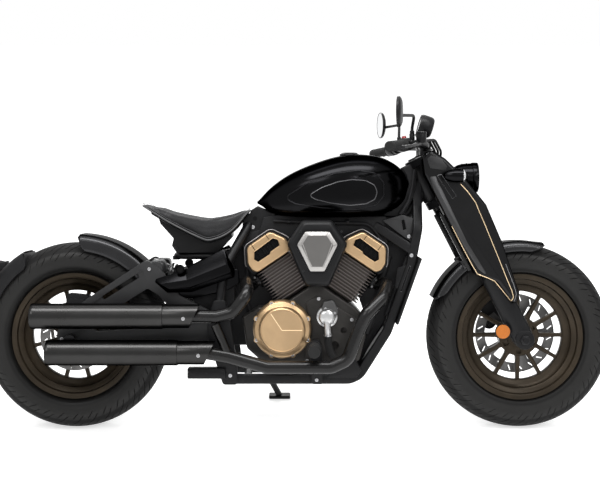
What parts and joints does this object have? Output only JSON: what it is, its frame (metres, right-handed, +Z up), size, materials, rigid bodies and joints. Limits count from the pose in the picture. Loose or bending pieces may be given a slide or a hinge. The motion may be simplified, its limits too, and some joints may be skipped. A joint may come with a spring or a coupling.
{
  "type": "bobber motorcycle",
  "caption": "Bobber motorcycle leaning on its side stand, with an open V engine, covered fork, low solo seat and stacked mufflers; its wheels, steering and stand move.",
  "frame": {"origin": "on the floor, at the middle of the parked motorcycle's length and width", "axes": "+X forwards, +Y to the motorcycle's left, the side it leans to, +Z up"},
  "size_m": [2.2598, 0.8848, 1.1763],
  "materials": {
    "bronze_rim": "dark bronze satin",
    "finned_iron": "dark with bare fin edges",
    "gloss_black": "gloss black",
    "gold_cover": "pale gold satin",
    "grey_alloy": "satin grey",
    "matt_black": "matt black",
    "red_lens": "red lens",
    "satin_black": "satin black",
    "seat_hide": "charcoal grain",
    "steel": "brushed",
    "tyre_rubber": "matt"
  },
  "bodies": {
    "chassis": {"air_cleaner": "satin_black", "air_cleaner_insert": "grey_alloy", "chain": "steel", "clutch_cover": "gold_cover", "cylinder_front": "finned_iron", "cylinder_rear": "finned_iron", "engine_case": "satin_black", "exhaust_lower": "satin_black", "exhaust_upper": "satin_black", "footrest_left": "satin_black", "footrest_right": "satin_black", "frame": "satin_black", "generator_cover": "satin_black", "head_cover_front": "gold_cover", "head_cover_rear": "gold_cover", "plate_carrier": "matt_black", "radiator": "matt_black", "rear_axle": "steel", "rear_caliper": "satin_black", "rear_fender": "gloss_black", "seat": "seat_hide", "seat_base": "matt_black", "shock": "steel", "side_cover_left": "gloss_black", "side_cover_right": "gloss_black", "swingarm": "satin_black", "tail_light": "red_lens", "tank": "gloss_black", "water_pump": "grey_alloy"},
    "steering": {"control_left": "satin_black", "control_right": "satin_black", "fork_cover_left": "gloss_black", "fork_cover_right": "gloss_black", "fork_leg_left": "satin_black", "fork_leg_right": "satin_black", "front_axle": "steel", "front_caliper": "satin_black", "front_fender": "gloss_black", "handlebar": "satin_black", "headlight": "gloss_black", "instrument": "satin_black", "mirror_left": "satin_black", "mirror_right": "satin_black", "yoke": "satin_black"},
    "rear_rolling": {"rear_disc": "steel", "rear_sprocket": "steel", "rear_tyre": "tyre_rubber", "rear_wheel": "bronze_rim"},
    "front_rolling": {"front_disc": "steel", "front_tyre": "tyre_rubber", "front_wheel": "bronze_rim"},
    "stand": {"side_stand": "satin_black"}
  },
  "joints": [
    {"name": "rear_wheel_spin", "type": "hinge", "parent": "chassis", "child": "rear_rolling", "pos_m": [-0.735, -0.11811, 0.31896], "axis": [0, 0.9877, -0.1564], "continuous": true},
    {"name": "steering_turn", "type": "hinge", "parent": "chassis", "child": "steering", "pos_m": [0.76545, -0.12213, 0.29358], "axis": [-0.454, 0.1394, 0.88], "range_deg": [-32, 32]},
    {"name": "front_wheel_spin", "type": "hinge", "parent": "steering", "child": "front_rolling", "pos_m": [0.81, -0.11858, 0.316], "axis": [0, 0.9877, -0.1564], "continuous": true},
    {"name": "side_stand_swing", "type": "hinge", "parent": "chassis", "child": "stand", "pos_m": [-0.095, 0.00924, 0.16414], "axis": [0.1655, 0.764, 0.6237], "range_deg": [0, 106.93]}
  ]
}
